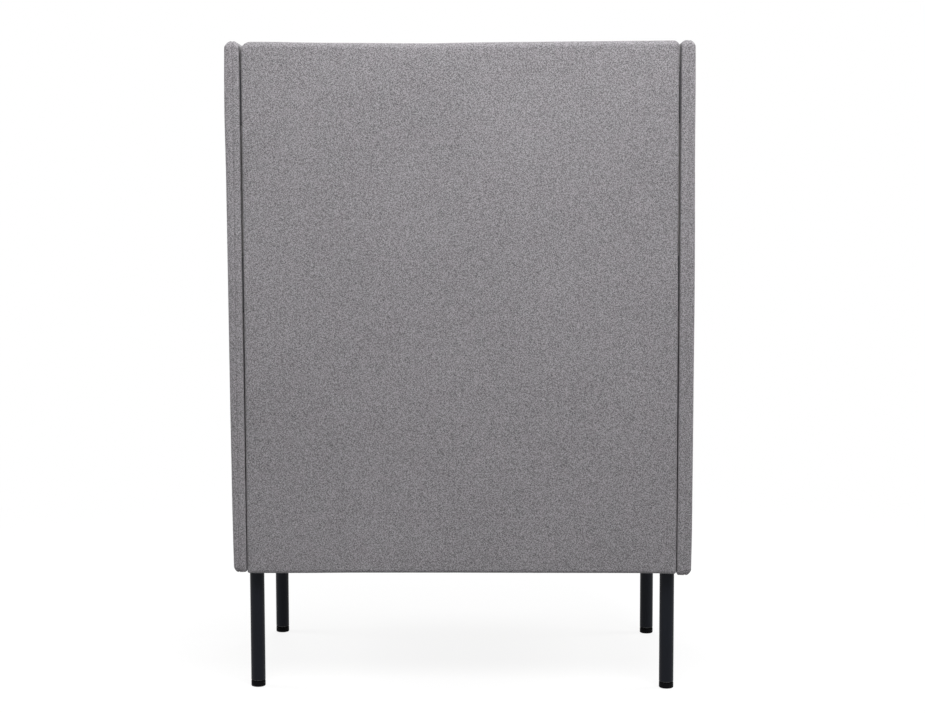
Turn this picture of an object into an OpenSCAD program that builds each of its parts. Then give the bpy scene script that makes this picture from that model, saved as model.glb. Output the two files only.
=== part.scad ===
// Study pod: a desk between three upholstered panels, carried by a frame of steel tube.
// The floor is z = 0. The open front, where the user sits, faces -Y and the back panel stands at +Y.
// Left and right are the user's own, so the left side is at -X.

/* [Pod] */
// Overall width
pod_w = 950; // [850:10:1200]
// Overall depth
pod_d = 650; // [620:10:760]
// Overall height
pod_h = 1335; // [1200:5:1500]
// Height of the panels' lower edges above the floor
panel_lift = 250; // [150:5:320]

/* [Panels] */
// Thickness of a finished panel
panel_t = 30; // [29:0.5:40]
// Thickness of the board inside a panel
core_t = 18; // [12:1:20]
// Thickness of the felt cover
cover_t = 1.2; // [0.8:0.1:1.6]
// Foam over the edges of the board
edge_foam = 6; // [4:0.5:10]
// Rounding of a panel's top edge, on each face
crown_r = 14; // [8:0.5:14]
// Rounding of a panel's lower edge, on each face
hem_r = 9; // [4:0.5:12]
// Rounding of a panel's upright edges
upright_r = 5; // [3:0.5:8]
// Rounding of a panel's corners, seen square to its face
corner_r = 12; // [8:0.5:20]
// How much lower the back panel ends than the side panels
back_drop = 2; // [0:0.5:4]
// Width of the seam groove along the middle of the edges
seam_w = 1.6; // [1:0.1:1.9]
// Depth of the seam groove
seam_depth = 0.6; // [0.3:0.05:0.7]

/* [Panel connectors] */
// Thickness of a connector plate: two of them make the gap beside the back panel
plate_t = 1.5; // [1.2:0.1:2.5]
// Width of a connector plate
plate_w = 14; // [12:0.5:16]
// Distance between the two lugs of a plate
lug_pitch = 34; // [30:1:38]
// Thickness of a lug
lug_t = 2; // [1.5:0.1:3]
// Height of a lug's neck
lug_neck = 9; // [7:0.5:10]
// Depth of the lip that hooks behind the keeper
lip_drop = 5; // [3:0.5:6]
// Thickness of that lip
lip_t = 2.4; // [1.6:0.1:3]
// Distance of the upper connector from the top of the side panels
connector_from_top = 110; // [90:5:160]
// Distance of the lower connector above the worktop
connector_over_worktop = 110; // [90:5:160]

/* [Legs] */
// Outer diameter of a leg tube
leg_d = 30; // [25:1:32]
// Wall of a leg tube
leg_wall = 1.5; // [1.2:0.1:2]
// Distance between the axes of the rear and front legs
leg_span = 488; // [420:4:500]
// Thickness of the brackets on the legs, which sets the legs off the panels
bracket_t = 3; // [2.5:0.5:5]
// Height of a bracket
bracket_h = 40; // [30:1:50]
// Distance from a leg's axis to the free end of its bracket
bracket_reach = 44; // [40:1:55]
// Distance of the lower brackets above the panels' lower edges
bracket_over_hem = 60; // [40:5:100]
// Distance of the upper brackets below the rails
bracket_under_rail = 45; // [35:5:90]

/* [Feet] */
// Height of a foot's plastic base
foot_h = 12; // [11:0.5:16]
// Rounding of a base's lower edge
foot_r = 2.5; // [1:0.25:3]
// Height of the hexagon that turns a stud
hexagon_h = 1.5; // [1.2:0.1:4]
// Width of that hexagon across its corners
hexagon_w = 25; // [20:0.5:25]
// Diameter of a stud's thread
stud_d = 8; // [6:1:10]
// Length of a stud above its hexagon
stud_l = 28; // [25:1:40]
// Length of the insert in a leg's lower end
insert_l = 20; // [16:1:30]

/* [Rails] */
// Height of a rail
rail_h = 40; // [34:1:50]
// Width of a rail
rail_w = 20; // [18:1:25]
// Wall of a rail
rail_wall = 1.5; // [1.2:0.1:2.5]
// Distance of the front cross rail behind the front legs
front_rail_back = 90; // [70:5:120]
// Distance of the rear cross rail in front of the rear legs
rear_rail_front = 150; // [140:5:180]
// Thickness of a cross rail's end plates
end_plate_t = 3; // [2.5:0.5:5]
// Width of a cross rail's end plates
end_plate_w = 64; // [60:1:75]

/* [Worktop] */
// Height of the worktop's surface
worktop_h = 735; // [700:5:760]
// Thickness of the worktop
worktop_t = 25; // [18:1:30]
// Gap between the worktop and the panels
worktop_gap = 2; // [1:0.5:4]
// Distance of the worktop's front edge behind the side panels' front edges
worktop_back = 40; // [20:5:60]
// Rounding of the worktop's front corners
worktop_corner_r = 15; // [5:1:40]
// Thickness of the edge band
band_t = 2; // [1:0.5:3]

/* [Cable grommet] */
// Diameter of the hole in the worktop
grommet_d = 60; // [54:1:70]
// Wall of the sleeve
sleeve_wall = 2; // [1.6:0.1:2.5]
// Width of the flange round the hole
flange_w = 5; // [4:0.5:8]
// Height of the flange above the worktop
flange_h = 4; // [2.5:0.1:5]
// Distance of its centre from the worktop's rear edge
grommet_from_rear = 70; // [60:1:85]
// Width of the cable notch in the cap
notch_w = 14; // [10:0.5:16]

/* [Hidden] */
$fn = 64;

// Named clearances and the overrun of every cut
overrun = 1;
thread_play = 0.05;
push_play = 0.05;
hole_play = 0.4;
turn_play = 0.3;

// Fasteners
bolt_d = 6;
bolt_head_d = 10.5;
bolt_head_h = 3.3;
bolt_dome_share = 1.18;
bolt_socket_w = 4.6;
bolt_socket_depth = 2;
panel_bolt_l = 20;
rail_bolt_l = 12;
nut_w = 11.5;
nut_h = 5;
insert_nut_d = 10;
insert_nut_l = 12;
insert_nut_flange_d = 13;
insert_nut_flange_h = 1;
wood_screw_d = 3.5;
wood_screw_head_d = 6.6;
hook_screw_l = 26;
keeper_screw_l = 16;
worktop_screw_d = 4.5;
worktop_screw_head_d = 9;
worktop_screw_head_h = 3;
worktop_screw_pan_share = 0.7;
worktop_screw_bite = 15;
access_hole_d = 12;
driver_slot_w = 1;
driver_slot_depth = 0.7;

// Panels
panel_h = pod_h - panel_lift;
back_high = panel_h - back_drop;
panel_skin = (panel_t - core_t) / 2;
panel_gap = 2 * plate_t;
panel_in_x = pod_w / 2 - panel_t;
panel_in_y = pod_d / 2 - panel_t;
back_w = 2 * (panel_in_x - panel_gap);
back_mid_y = pod_d / 2 - panel_t / 2;
core_corner_r = 3;

// Panel connectors
lip_chamfer = 1;
lug_play = 0.3;
slot_play = 0.3;
pocket_play = 1.5;
screw_margin = 4;
keeper_screw_z = lug_pitch / 2 + lug_neck + lip_drop + slot_play + screw_margin + wood_screw_head_d / 2;
hook_screw_z = keeper_screw_z + wood_screw_head_d + screw_margin;
plate_h = 2 * hook_screw_z + wood_screw_head_d + 2 * screw_margin;
connector_zs = [pod_h - connector_from_top, worktop_h + connector_over_worktop];

// Legs, feet and brackets
leg_x = panel_in_x - bracket_t - leg_d / 2;
leg_rear_y = panel_in_y - bracket_t - leg_d / 2;
leg_front_y = leg_rear_y - leg_span;
function leg_y(end) = end > 0 ? leg_rear_y : leg_front_y;
insert_flange_h = 1.2;
insert_rib_h = 0.5;
insert_ribs = 4;
foot_play = 0.2;
leg_low_z = foot_h + hexagon_h + 2 * foot_play + insert_flange_h;
leg_top_z = worktop_h - worktop_t;
sole_t = 3;
socket_h = 4;
stud_neck_d = 10;
stud_head_d = 12.6;
bracket_bolt = 30;
bracket_corner_r = 6;
bracket_heel = 10;
weld_w = 12;
rail_z = leg_top_z - rail_h;
bracket_zs = [panel_lift + bracket_over_hem, rail_z - bracket_under_rail];

// Rails
rail_corner_r = 3;
front_rail_y = leg_front_y + front_rail_back;
rear_rail_y = leg_rear_y - rear_rail_front;
side_rail_in_x = leg_x - rail_w / 2;
end_plate_margin = 3;
end_plate_corner_r = 4;
end_plate_bolt = (end_plate_w + rail_w) / 4;
side_screw_share = 0.25;
cross_screw_share = 0.3;

// Worktop
worktop_x = panel_in_x - worktop_gap;
worktop_rear_y = panel_in_y - worktop_gap;
worktop_front_y = worktop_back - pod_d / 2;
worktop_rear_corner_r = 4;

// Cable grommet
grommet_y = worktop_rear_y - grommet_from_rear;
sleeve_play = 0.2;
sleeve_short = 3;
sleeve_l = worktop_t - sleeve_short;
sleeve_chamfer = 1;
cap_t = 2;
cap_play = 0.3;
cap_seat_play = 0.1;
cap_skirt_h = 8;
cap_skirt_wall = 1.6;
ledge_w = 3;
flange_chamfer = 1;
sleeve_in_r = grommet_d / 2 - sleeve_play - sleeve_wall;
rebate_r = sleeve_in_r + ledge_w;
cap_r = rebate_r - cap_play;
notch_depth = cap_r / 2;

// Flat outlines

// An upright rectangle, centred in x and standing on y = 0, with its own radii above and below
module soft_rectangle(w, h, top_r, low_r) {
    translate([-w / 2, low_r]) square([w, h - top_r - low_r]);
    translate([top_r - w / 2, low_r]) square([w - 2 * top_r, h - low_r]);
    translate([low_r - w / 2, 0]) square([w - 2 * low_r, h - top_r]);
    for (side = [-1, 1]) {
        translate([side * (w / 2 - top_r), h - top_r]) circle(top_r);
        translate([side * (w / 2 - low_r), low_r]) circle(low_r);
    }
}

module rounded_plate(w, h, r) {
    translate([0, -h / 2]) soft_rectangle(w, h, r, r);
}

// Upholstered panels. Each is drawn along x, centred in y and standing on z = 0.

module panel_elevation(len, high, inset) {
    translate([0, inset])
        soft_rectangle(len - 2 * inset, high - 2 * inset, corner_r - inset, corner_r - inset);
}

// The finished panel, or one of the surfaces inside it that lies a constant distance in
module panel_form(len, high, inset) {
    intersection() {
        translate([0, 0, -overrun])
            linear_extrude(high + 2 * overrun)
                rounded_plate(len - 2 * inset, panel_t - 2 * inset, upright_r - inset);
        translate([-len / 2 - overrun, 0, inset])
            rotate([90, 0, 90])
                linear_extrude(len + 2 * overrun)
                    soft_rectangle(panel_t - 2 * inset, high - 2 * inset, crown_r - inset, hem_r - inset);
        translate([0, panel_t / 2 + overrun, 0])
            rotate([90, 0, 0])
                linear_extrude(panel_t + 2 * overrun)
                    panel_elevation(len, high, inset);
    }
}

module board_form(len, high) {
    edge = cover_t + edge_foam;
    translate([0, core_t / 2, edge])
        rotate([90, 0, 0])
            linear_extrude(core_t)
                soft_rectangle(len - 2 * edge, high - 2 * edge, core_corner_r, core_corner_r);
}

module seam_groove(len, high) {
    translate([0, seam_w / 2, 0])
        rotate([90, 0, 0])
            linear_extrude(seam_w)
                difference() {
                    translate([-len / 2 - overrun, -overrun])
                        square([len + 2 * overrun, high + 2 * overrun]);
                    panel_elevation(len, high, seam_depth);
                }
}

module at_back_panel() {
    translate([0, back_mid_y, panel_lift]) children();
}

module at_side_panel(side) {
    translate([side * (pod_w / 2 - panel_t / 2), 0, panel_lift]) rotate([0, 0, 90]) children();
}

// Places where a bracket's bolt enters a panel, with +Z pointing into it

module at_back_bolts() {
    for (side = [-1, 1], z = bracket_zs)
        translate([side * (leg_x - bracket_bolt), panel_in_y, z]) rotate([-90, 0, 0]) children();
}

module at_side_bolts(side) {
    for (end = [-1, 1], z = bracket_zs)
        translate([side * panel_in_x, leg_y(end) - end * bracket_bolt, z])
            rotate([0, side * 90, 0]) children();
}

// Places of the connectors, with +X pointing from the back panel into a side panel and x = 0
// on the plane where the hook plate meets the keeper plate

module at_connectors(side) {
    mirror([side < 0 ? 1 : 0, 0, 0])
        for (z = connector_zs)
            translate([panel_in_x - plate_t, back_mid_y, z]) children();
}

module bolt_hole_in_panel(depth, d) {
    translate([0, 0, -overrun]) cylinder(d = d, h = depth + overrun);
}

module insert_nut_seat() {
    translate([0, 0, panel_skin]) {
        cylinder(d = insert_nut_d + 2 * push_play, h = insert_nut_l + overrun);
        translate([0, 0, -overrun])
            cylinder(d = insert_nut_flange_d + 2 * push_play, h = insert_nut_flange_h + overrun);
    }
}

module at_hook_screws() {
    for (end = [-1, 1]) translate([0, 0, end * hook_screw_z]) rotate([0, -90, 0]) children();
}

module at_keeper_screws() {
    for (end = [-1, 1]) translate([0, 0, end * keeper_screw_z]) rotate([0, 90, 0]) children();
}

module hook_screw_holes() {
    at_hook_screws() cylinder(d = wood_screw_d + 2 * push_play, h = hook_screw_l + overrun);
}

module keeper_screw_holes() {
    at_keeper_screws() cylinder(d = wood_screw_d + 2 * push_play, h = keeper_screw_l + overrun);
}

// The room that the lugs need in the cover and foam of a side panel
module lug_pockets() {
    for (end = [-1, 1])
        translate([0, -lug_t / 2 - pocket_play, end * lug_pitch / 2 - lip_drop - pocket_play])
            cube([panel_skin + plate_t, lug_t + 2 * pocket_play, lug_neck + 2 * lip_drop + 2 * pocket_play]);
}

module back_panel_core() {
    color("burlywood") difference() {
        at_back_panel() board_form(back_w, back_high);
        at_back_bolts() insert_nut_seat();
        at_connectors(-1) hook_screw_holes();
        at_connectors(1) hook_screw_holes();
    }
}

module back_panel_foam() {
    color("lemonchiffon") difference() {
        at_back_panel() panel_form(back_w, back_high, cover_t);
        at_back_panel() board_form(back_w, back_high);
        at_back_bolts() bolt_hole_in_panel(panel_skin, insert_nut_flange_d);
        at_connectors(-1) hook_screw_holes();
        at_connectors(1) hook_screw_holes();
    }
}

module back_panel_cover() {
    color([0.53, 0.52, 0.54]) difference() {
        at_back_panel() panel_form(back_w, back_high, 0);
        at_back_panel() panel_form(back_w, back_high, cover_t);
        at_back_panel() seam_groove(back_w, back_high);
        at_back_bolts() bolt_hole_in_panel(panel_skin, bolt_d + hole_play);
        at_connectors(-1) hook_screw_holes();
        at_connectors(1) hook_screw_holes();
    }
}

module side_panel_core(side) {
    color("burlywood") difference() {
        at_side_panel(side) board_form(pod_d, panel_h);
        at_side_bolts(side) insert_nut_seat();
        at_connectors(side) keeper_screw_holes();
    }
}

module side_panel_foam(side) {
    color("lemonchiffon") difference() {
        at_side_panel(side) panel_form(pod_d, panel_h, cover_t);
        at_side_panel(side) board_form(pod_d, panel_h);
        at_side_bolts(side) bolt_hole_in_panel(panel_skin, insert_nut_flange_d);
        at_connectors(side) keeper_screw_holes();
        at_connectors(side) lug_pockets();
    }
}

module side_panel_cover(side) {
    color([0.53, 0.52, 0.54]) difference() {
        at_side_panel(side) panel_form(pod_d, panel_h, 0);
        at_side_panel(side) panel_form(pod_d, panel_h, cover_t);
        at_side_panel(side) seam_groove(pod_d, panel_h);
        at_side_bolts(side) bolt_hole_in_panel(panel_skin, bolt_d + hole_play);
        at_connectors(side) keeper_screw_holes();
        at_connectors(side) lug_pockets();
    }
}

// Connectors that hang the back panel between the side panels

// One hook in profile: a neck through the keeper's slot and a lip that drops behind the keeper
module lug() {
    lip_x = plate_t + lug_play;
    tip_x = lip_x + lip_t;
    rotate([90, 0, 0])
        translate([0, 0, -lug_t / 2])
            linear_extrude(lug_t)
                polygon([
                    [-plate_t, 0],
                    [lip_x, 0],
                    [lip_x, -lip_drop],
                    [tip_x - lip_chamfer, -lip_drop],
                    [tip_x, lip_chamfer - lip_drop],
                    [tip_x, lug_neck - lip_chamfer],
                    [tip_x - lip_chamfer, lug_neck],
                    [-plate_t, lug_neck]
                ]);
}

module connector_plate() {
    translate([-plate_t, 0, 0])
        rotate([90, 0, 90])
            linear_extrude(plate_t)
                rounded_plate(plate_w, plate_h, plate_w / 4);
}

module screw_head_form(play) {
    cylinder(d1 = wood_screw_head_d + 2 * play, d2 = wood_screw_d + 2 * play, h = plate_t);
}

module hook_plates() {
    color("dimgray") for (side = [-1, 1]) at_connectors(side) difference() {
        union() {
            connector_plate();
            for (end = [-1, 1]) translate([0, 0, end * lug_pitch / 2]) lug();
        }
        at_hook_screws() screw_head_form(push_play);
    }
}

module keeper_plates() {
    color("gray") for (side = [-1, 1]) at_connectors(side) difference() {
        translate([plate_t, 0, 0]) connector_plate();
        at_keeper_screws() screw_head_form(push_play);
        for (end = [-1, 1])
            translate([-overrun, -lug_t / 2 - slot_play, end * lug_pitch / 2])
                cube([plate_t + 2 * overrun, lug_t + 2 * slot_play, lug_neck + lip_drop + slot_play]);
    }
}

module wood_screw(len) {
    difference() {
        union() {
            screw_head_form(0);
            cylinder(d = wood_screw_d, h = len - wood_screw_d);
            translate([0, 0, len - wood_screw_d]) cylinder(d1 = wood_screw_d, d2 = 0, h = wood_screw_d);
        }
        for (turn = [0, 90])
            rotate([0, 0, turn])
                translate([-wood_screw_d / 2, -driver_slot_w / 2, -overrun])
                    cube([wood_screw_d, driver_slot_w, driver_slot_depth + overrun]);
    }
}

module connector_screws() {
    color("silver") for (side = [-1, 1]) at_connectors(side) {
        at_hook_screws() wood_screw(hook_screw_l);
        at_keeper_screws() wood_screw(keeper_screw_l);
    }
}

// Bolts and nuts that hold the panels to the legs

module button_bolt(len) {
    difference() {
        union() {
            intersection() {
                translate([0, 0, -bolt_head_h]) cylinder(d = bolt_head_d, h = bolt_head_h);
                translate([0, 0, bolt_head_d / 2 - bolt_head_h]) sphere(d = bolt_head_d * bolt_dome_share);
            }
            cylinder(d = bolt_d, h = len);
        }
        translate([0, 0, -bolt_head_h - overrun])
            cylinder(d = bolt_socket_w, h = bolt_socket_depth + overrun, $fn = 6);
    }
}

module panel_bolts() {
    color([0.12, 0.12, 0.13]) {
        at_back_bolts() translate([0, 0, -bracket_t]) button_bolt(panel_bolt_l);
        at_side_bolts(-1) translate([0, 0, -bracket_t]) button_bolt(panel_bolt_l);
        at_side_bolts(1) translate([0, 0, -bracket_t]) button_bolt(panel_bolt_l);
    }
}

module insert_nut() {
    translate([0, 0, panel_skin]) difference() {
        union() {
            cylinder(d = insert_nut_d, h = insert_nut_l);
            cylinder(d = insert_nut_flange_d, h = insert_nut_flange_h);
        }
        translate([0, 0, -overrun])
            cylinder(d = bolt_d + 2 * thread_play, h = insert_nut_l + 2 * overrun);
    }
}

module panel_insert_nuts() {
    color("goldenrod") {
        at_back_bolts() insert_nut();
        at_side_bolts(-1) insert_nut();
        at_side_bolts(1) insert_nut();
    }
}

// One flat bracket on x = 0 of a panel's face, reaching along +Y from the leg, with its weld
module flag_bracket() {
    weld_l = bracket_h - 2 * bracket_corner_r;
    difference() {
        union() {
            rotate([90, 0, 90])
                linear_extrude(bracket_t)
                    translate([(bracket_reach - bracket_heel) / 2, 0])
                        rounded_plate(bracket_reach + bracket_heel, bracket_h, bracket_corner_r);
            translate([-leg_d / 4, -weld_w / 2, -weld_l / 2])
                cube([leg_d / 4 + bracket_t / 2, weld_w, weld_l]);
        }
        translate([-leg_d / 2, 0, -bracket_h]) cylinder(d = leg_d, h = 2 * bracket_h);
        translate([-overrun, bracket_bolt, 0])
            rotate([0, 90, 0]) cylinder(d = bolt_d + hole_play, h = bracket_t + 2 * overrun);
    }
}

module leg_brackets() {
    color([0.13, 0.13, 0.15]) for (z = bracket_zs) {
        for (side = [-1, 1], end = [-1, 1])
            translate([side * leg_x, leg_y(end), z])
                mirror([side < 0 ? 1 : 0, 0, 0])
                    mirror([0, end > 0 ? 1 : 0, 0])
                        translate([leg_d / 2, 0, 0]) flag_bracket();
        for (side = [-1, 1])
            translate([side * leg_x, leg_rear_y, z])
                mirror([side < 0 ? 1 : 0, 0, 0])
                    rotate([0, 0, 90])
                        translate([leg_d / 2, 0, 0]) flag_bracket();
    }
}

// Legs and feet, each drawn on its own axis

module leg(side, end) {
    color([0.13, 0.13, 0.15]) translate([side * leg_x, leg_y(end), leg_low_z]) difference() {
        cylinder(d = leg_d, h = leg_top_z - leg_low_z);
        translate([0, 0, -overrun])
            cylinder(d = leg_d - 2 * leg_wall, h = leg_top_z - leg_low_z + 2 * overrun);
    }
}

module at_legs() {
    for (side = [-1, 1], end = [-1, 1]) translate([side * leg_x, leg_y(end), 0]) children();
}

// A plug with saw-tooth ribs that grip the tube, and a flange under the tube's end
module leg_inserts() {
    body_r = leg_d / 2 - leg_wall - push_play;
    rib_pitch = insert_l / insert_ribs;
    color([0.1, 0.1, 0.1]) at_legs() translate([0, 0, leg_low_z]) rotate_extrude() polygon([
        [stud_d / 2 + thread_play, -insert_flange_h],
        [leg_d / 2, -insert_flange_h],
        [leg_d / 2, 0],
        for (i = [0:insert_ribs - 1]) each [
            [body_r, i * rib_pitch],
            [body_r - insert_rib_h, (i + 1) * rib_pitch]
        ],
        [stud_d / 2 + thread_play, insert_l]
    ]);
}

module foot_base(side, end) {
    wide = leg_d / 2;
    top_chamfer = foot_r / 3;
    color([0.08, 0.08, 0.08]) translate([side * leg_x, leg_y(end), 0]) difference() {
        rotate_extrude() {
            square([wide - foot_r, foot_h]);
            translate([wide - foot_r, foot_r]) circle(foot_r);
            translate([0, foot_r]) square([wide, foot_h - foot_r - top_chamfer]);
            translate([0, foot_h - top_chamfer]) square([wide - top_chamfer, top_chamfer]);
        }
        translate([0, 0, sole_t]) cylinder(d = stud_head_d + 2 * turn_play, h = socket_h);
        translate([0, 0, sole_t]) cylinder(d = stud_neck_d + 2 * turn_play, h = foot_h);
    }
}

module foot_stud(side, end) {
    hexagon_z = foot_h + foot_play;
    tip = stud_d / 8;
    color("darkgray") translate([side * leg_x, leg_y(end), 0]) {
        translate([0, 0, sole_t + foot_play]) cylinder(d = stud_head_d, h = socket_h - 2 * foot_play);
        translate([0, 0, sole_t + foot_play]) cylinder(d = stud_neck_d, h = hexagon_z - sole_t);
        translate([0, 0, hexagon_z]) cylinder(d = hexagon_w, h = hexagon_h, $fn = 6);
        translate([0, 0, hexagon_z]) cylinder(d = stud_d, h = hexagon_h + stud_l - tip);
        translate([0, 0, hexagon_z + hexagon_h + stud_l - tip])
            cylinder(d1 = stud_d, d2 = stud_d - 2 * tip, h = tip);
    }
}

// Rails. A tube of this section is drawn along x, centred in y and z.

module rail_tube(len) {
    translate([-len / 2, 0, 0])
        rotate([90, 0, 90])
            linear_extrude(len)
                difference() {
                    rounded_plate(rail_w, rail_h, rail_corner_r);
                    rounded_plate(rail_w - 2 * rail_wall, rail_h - 2 * rail_wall, rail_corner_r - rail_wall);
                }
}

// Where the worktop's screws stand, on the underside of the worktop
module at_side_rail_screws(side) {
    for (end = [-1, 1])
        translate([side * leg_x, leg_rear_y - leg_span / 2 + end * leg_span * side_screw_share, leg_top_z])
            children();
}

module at_cross_rail_screws(y) {
    for (side = [-1, 1]) translate([side * leg_x * 2 * cross_screw_share, y, leg_top_z]) children();
}

// A screw hole in a rail's upper wall and the driver's way through its lower wall
module rail_screw_hole() {
    translate([0, 0, -rail_h / 2]) cylinder(d = worktop_screw_d + hole_play, h = rail_h / 2 + overrun);
    translate([0, 0, -rail_h - overrun]) cylinder(d = access_hole_d, h = rail_h / 2);
}

// Where a cross rail's bolts enter a side rail, with +Z pointing outwards
module at_rail_bolts(side) {
    for (y = [front_rail_y, rear_rail_y], end = [-1, 1])
        translate([side * side_rail_in_x, y + end * end_plate_bolt, rail_z + rail_h / 2])
            rotate([0, side * 90, 0]) children();
}

module side_rail(side) {
    color([0.13, 0.13, 0.15]) difference() {
        translate([side * leg_x, leg_rear_y - leg_span / 2, rail_z + rail_h / 2])
            rotate([0, 0, 90]) rail_tube(leg_span);
        for (end = [-1, 1])
            translate([side * leg_x, leg_y(end), rail_z - overrun])
                cylinder(d = leg_d, h = rail_h + 2 * overrun);
        at_side_rail_screws(side) rail_screw_hole();
        at_rail_bolts(side) translate([0, 0, -overrun])
            cylinder(d = bolt_d + hole_play, h = rail_wall + 2 * overrun);
    }
}

module end_plate() {
    linear_extrude(end_plate_t)
        difference() {
            rounded_plate(end_plate_w, rail_h - 2 * end_plate_margin, end_plate_corner_r);
            for (end = [-1, 1]) translate([end * end_plate_bolt, 0]) circle(d = bolt_d + hole_play);
        }
}

module cross_rail(y) {
    color([0.13, 0.13, 0.15]) difference() {
        translate([0, y, rail_z + rail_h / 2]) rail_tube(2 * (side_rail_in_x - end_plate_t));
        at_cross_rail_screws(y) rail_screw_hole();
    }
}

// The plates welded across the ends of the cross rails
module rail_end_plates() {
    color([0.13, 0.13, 0.15]) for (side = [-1, 1], y = [front_rail_y, rear_rail_y])
        translate([side * side_rail_in_x - (side > 0 ? end_plate_t : 0), y, rail_z + rail_h / 2])
            rotate([90, 0, 90]) end_plate();
}

module rail_bolts() {
    color([0.12, 0.12, 0.13]) for (side = [-1, 1])
        at_rail_bolts(side) translate([0, 0, -end_plate_t]) button_bolt(rail_bolt_l);
}

module rail_nuts() {
    color("silver") for (side = [-1, 1])
        at_rail_bolts(side) translate([0, 0, rail_wall]) difference() {
            cylinder(d = nut_w, h = nut_h, $fn = 6);
            translate([0, 0, -overrun]) cylinder(d = bolt_d + 2 * thread_play, h = nut_h + 2 * overrun);
        }
}

// Worktop

module worktop_outline(inset) {
    depth = worktop_rear_y - worktop_front_y;
    translate([0, worktop_rear_y - inset])
        mirror([0, 1])
            soft_rectangle(
                2 * (worktop_x - inset), depth - 2 * inset,
                worktop_corner_r - inset, worktop_rear_corner_r - inset
            );
}

module at_worktop_screws() {
    at_side_rail_screws(-1) children();
    at_side_rail_screws(1) children();
    at_cross_rail_screws(front_rail_y) children();
    at_cross_rail_screws(rear_rail_y) children();
}

module worktop_board() {
    color("tan") difference() {
        translate([0, 0, leg_top_z]) linear_extrude(worktop_t) worktop_outline(band_t);
        translate([0, grommet_y, leg_top_z - overrun])
            cylinder(d = grommet_d, h = worktop_t + 2 * overrun);
        at_worktop_screws() translate([0, 0, -overrun])
            cylinder(d = worktop_screw_d + 2 * push_play, h = worktop_screw_bite + 2 * overrun);
    }
}

module worktop_edge_band() {
    color("burlywood") translate([0, 0, leg_top_z]) linear_extrude(worktop_t) difference() {
        worktop_outline(0);
        worktop_outline(band_t);
    }
}

module worktop_screws() {
    color("silver") at_worktop_screws() difference() {
        union() {
            translate([0, 0, -rail_wall - worktop_screw_head_h])
                cylinder(
                    d1 = worktop_screw_head_d * worktop_screw_pan_share,
                    d2 = worktop_screw_head_d,
                    h = worktop_screw_head_h
                );
            translate([0, 0, -rail_wall])
                cylinder(d = worktop_screw_d, h = rail_wall + worktop_screw_bite - worktop_screw_d);
            translate([0, 0, worktop_screw_bite - worktop_screw_d])
                cylinder(d1 = worktop_screw_d, d2 = 0, h = worktop_screw_d);
        }
        for (turn = [0, 90])
            rotate([0, 0, turn])
                translate([
                    -worktop_screw_d / 2, -driver_slot_w / 2,
                    -rail_wall - worktop_screw_head_h - overrun
                ])
                    cube([worktop_screw_d, driver_slot_w, driver_slot_depth + overrun]);
    }
}

// Cable grommet: a flanged sleeve and a cap that drops into its rebate

module grommet_sleeve() {
    outer_r = grommet_d / 2 - sleeve_play;
    flange_r = grommet_d / 2 + flange_w;
    ledge_z = flange_h - cap_t - cap_seat_play;
    color([0.15, 0.15, 0.16]) translate([0, grommet_y, worktop_h]) rotate_extrude() polygon([
        [sleeve_in_r, sleeve_chamfer / 2 - sleeve_l],
        [sleeve_in_r, ledge_z],
        [rebate_r, ledge_z],
        [rebate_r, flange_h],
        [flange_r - flange_chamfer, flange_h],
        [flange_r, flange_h - flange_chamfer],
        [flange_r, 0],
        [outer_r, 0],
        [outer_r, sleeve_chamfer - sleeve_l],
        [outer_r - sleeve_chamfer, -sleeve_l],
        [sleeve_in_r + sleeve_chamfer / 2, -sleeve_l]
    ]);
}

module grommet_cap() {
    skirt_r = sleeve_in_r - cap_play;
    color([0.18, 0.18, 0.19]) translate([0, grommet_y, worktop_h + flange_h - cap_t]) difference() {
        union() {
            cylinder(r = cap_r, h = cap_t);
            translate([0, 0, -cap_skirt_h]) cylinder(r = skirt_r, h = cap_skirt_h);
        }
        translate([0, 0, -cap_skirt_h - overrun])
            cylinder(r = skirt_r - cap_skirt_wall, h = cap_skirt_h + overrun);
        translate([0, cap_r - notch_depth, -cap_skirt_h - overrun])
            linear_extrude(cap_skirt_h + cap_t + 2 * overrun) {
                translate([0, notch_w / 2]) circle(d = notch_w);
                translate([-notch_w / 2, notch_w / 2]) square([notch_w, notch_depth]);
            }
    }
}

back_panel_core();
back_panel_foam();
back_panel_cover();
side_panel_core(-1);  // left_panel_core
side_panel_foam(-1);  // left_panel_foam
side_panel_cover(-1);  // left_panel_cover
side_panel_core(1);  // right_panel_core
side_panel_foam(1);  // right_panel_foam
side_panel_cover(1);  // right_panel_cover
hook_plates();
keeper_plates();
connector_screws();
panel_bolts();
panel_insert_nuts();
leg_brackets();
leg(-1, 1);  // rear_left_leg
leg(1, 1);  // rear_right_leg
leg(-1, -1);  // front_left_leg
leg(1, -1);  // front_right_leg
leg_inserts();
foot_stud(-1, 1);  // rear_left_foot_stud
foot_stud(1, 1);  // rear_right_foot_stud
foot_stud(-1, -1);  // front_left_foot_stud
foot_stud(1, -1);  // front_right_foot_stud
foot_base(-1, 1);  // rear_left_foot_base
foot_base(1, 1);  // rear_right_foot_base
foot_base(-1, -1);  // front_left_foot_base
foot_base(1, -1);  // front_right_foot_base
side_rail(-1);  // left_side_rail
side_rail(1);  // right_side_rail
cross_rail(front_rail_y);  // front_cross_rail
cross_rail(rear_rail_y);  // rear_cross_rail
rail_end_plates();
rail_bolts();
rail_nuts();
worktop_board();
worktop_edge_band();
worktop_screws();
grommet_sleeve();
grommet_cap();
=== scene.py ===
"""Study pod: felt covers, screw feet, weld seams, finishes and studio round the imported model."""

import math

import bmesh
import bpy
import numpy as np
from bpy.props import FloatProperty, FloatVectorProperty, IntProperty, PointerProperty
from mathutils import Matrix, Vector


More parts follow.
